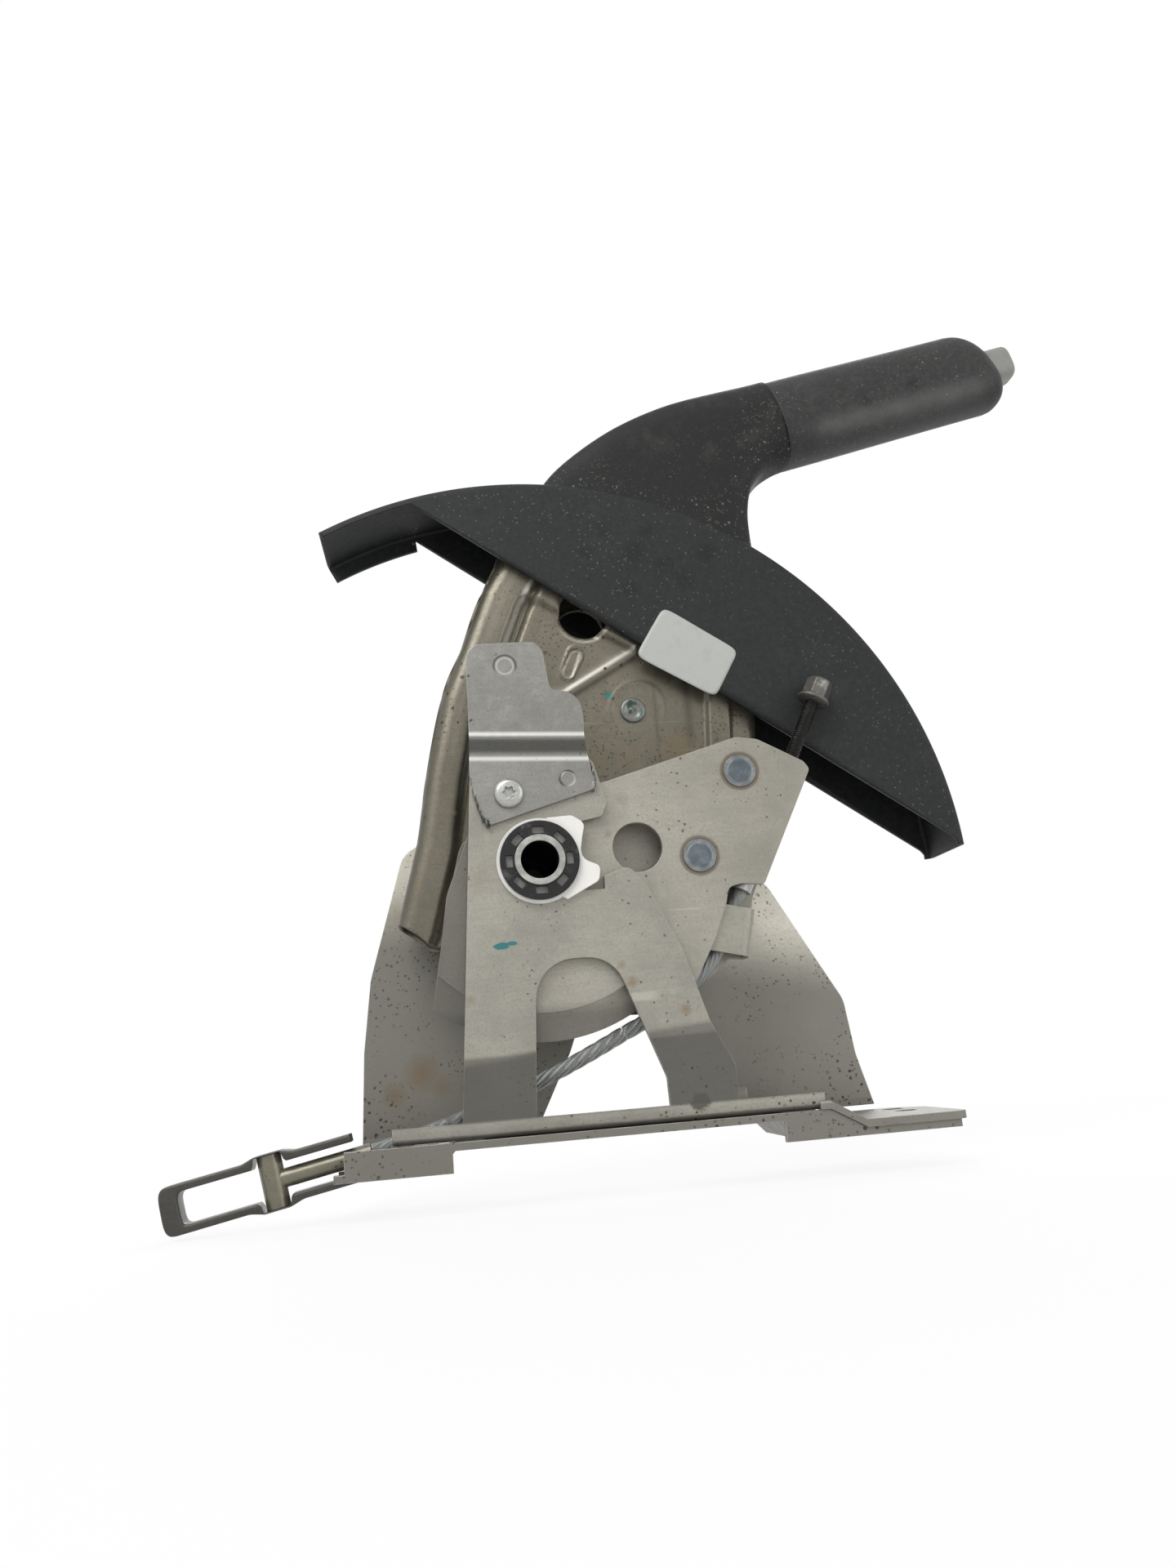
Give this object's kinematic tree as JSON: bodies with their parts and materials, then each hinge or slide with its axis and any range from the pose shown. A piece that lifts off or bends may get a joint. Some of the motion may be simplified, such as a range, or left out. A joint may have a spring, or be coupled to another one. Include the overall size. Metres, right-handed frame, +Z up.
{
  "type": "parking brake lever",
  "caption": "car parking brake lever: pressed-steel bracket with a pivoting lever, cable sector with adjuster, strap link, half-moon cover and a grip with release button",
  "frame": {"origin": "middle of the four base bolt holes, on the underside of the base", "axes": "+X along the base towards the grip, +Y across the lever away from the adjuster side, +Z up"},
  "size_m": [0.4044, 0.0755, 0.3893],
  "materials": {
    "bracket_steel": "zinc plated, worn and specked",
    "lever_steel": "zinc plated, slightly golden",
    "bright_zinc": "bright zinc",
    "rivet_steel": "dull, rust at the edge",
    "wire_rope": "stranded wire",
    "black_metal": "black, dusty",
    "black_plastic": "fine grain, dusty",
    "grip_plastic": "soft, matt",
    "button_plastic": "satin grey",
    "bush_plastic": "white, greasy"
  },
  "bodies": {
    "bracket": {"front_bracket": "bracket_steel", "rear_bracket": "bracket_steel", "switch_plate": "bracket_steel", "switch_plate_screw": "bright_zinc", "pivot_bush_front": "bush_plastic", "pivot_bush_rear": "bush_plastic", "ratchet_sector": "bracket_steel", "ratchet_rivets": "bright_zinc"},
    "lever": {"lever_shell_front": "lever_steel", "lever_shell_rear": "lever_steel", "pivot_tube": "lever_steel", "push_rings": "black_metal", "sector_front_plate": "lever_steel", "sector_rear_plate": "lever_steel", "sector_rivets": "rivet_steel", "adjuster_nut": "bright_zinc", "adjuster_bolt": "black_metal", "cable_ferrule": "bright_zinc", "cable_wrap": "wire_rope", "cover": "black_plastic", "handle_tube": "lever_steel", "grip": "grip_plastic", "pawl_pin": "rivet_steel", "button_spring": "bright_zinc"},
    "button": {"release_button": "button_plastic", "release_rod": "bright_zinc"},
    "pawl": {"pawl": "lever_steel"},
    "cable": {"cable_run": "wire_rope", "cable_end": "bright_zinc"},
    "link": {"cable_link": "bracket_steel"}
  },
  "joints": [
    {"name": "lever_pull", "type": "hinge", "parent": "bracket", "child": "lever", "pos_m": [-0.042, 0, 0.115], "axis": [0, -1, 0], "range_deg": [0, 35]},
    {"name": "button_press", "type": "slide", "parent": "lever", "child": "button", "axis": [-0.9681, 0, -0.2504], "range_m": [0, 0.007], "stiffness_N_per_m": 500, "springref_m": -0.004, "deforming": ["button_spring"]},
    {"name": "pawl_swing", "type": "hinge", "parent": "lever", "child": "pawl", "pos_m": [0.0056, 0, 0.1835], "axis": [0, -1, 0], "range_deg": [0, 10.2]},
    {"name": "cable_travel", "type": "slide", "parent": "bracket", "child": "cable", "axis": [0.956, 0, 0.2934], "range_m": [0, 0.0459]},
    {"name": "link_swing", "type": "hinge", "parent": "cable", "child": "link", "pos_m": [-0.149, -0.0272, 0.0025], "axis": [-0.1908, 0, 0.9816], "range_deg": [-3, 3]}
  ],
  "couplings": [
    {"joint": "pawl_swing", "follows": "button_press", "rad_per_m": 25.2},
    {"joint": "cable_travel", "follows": "lever_pull", "m_per_rad": 0.075}
  ]
}
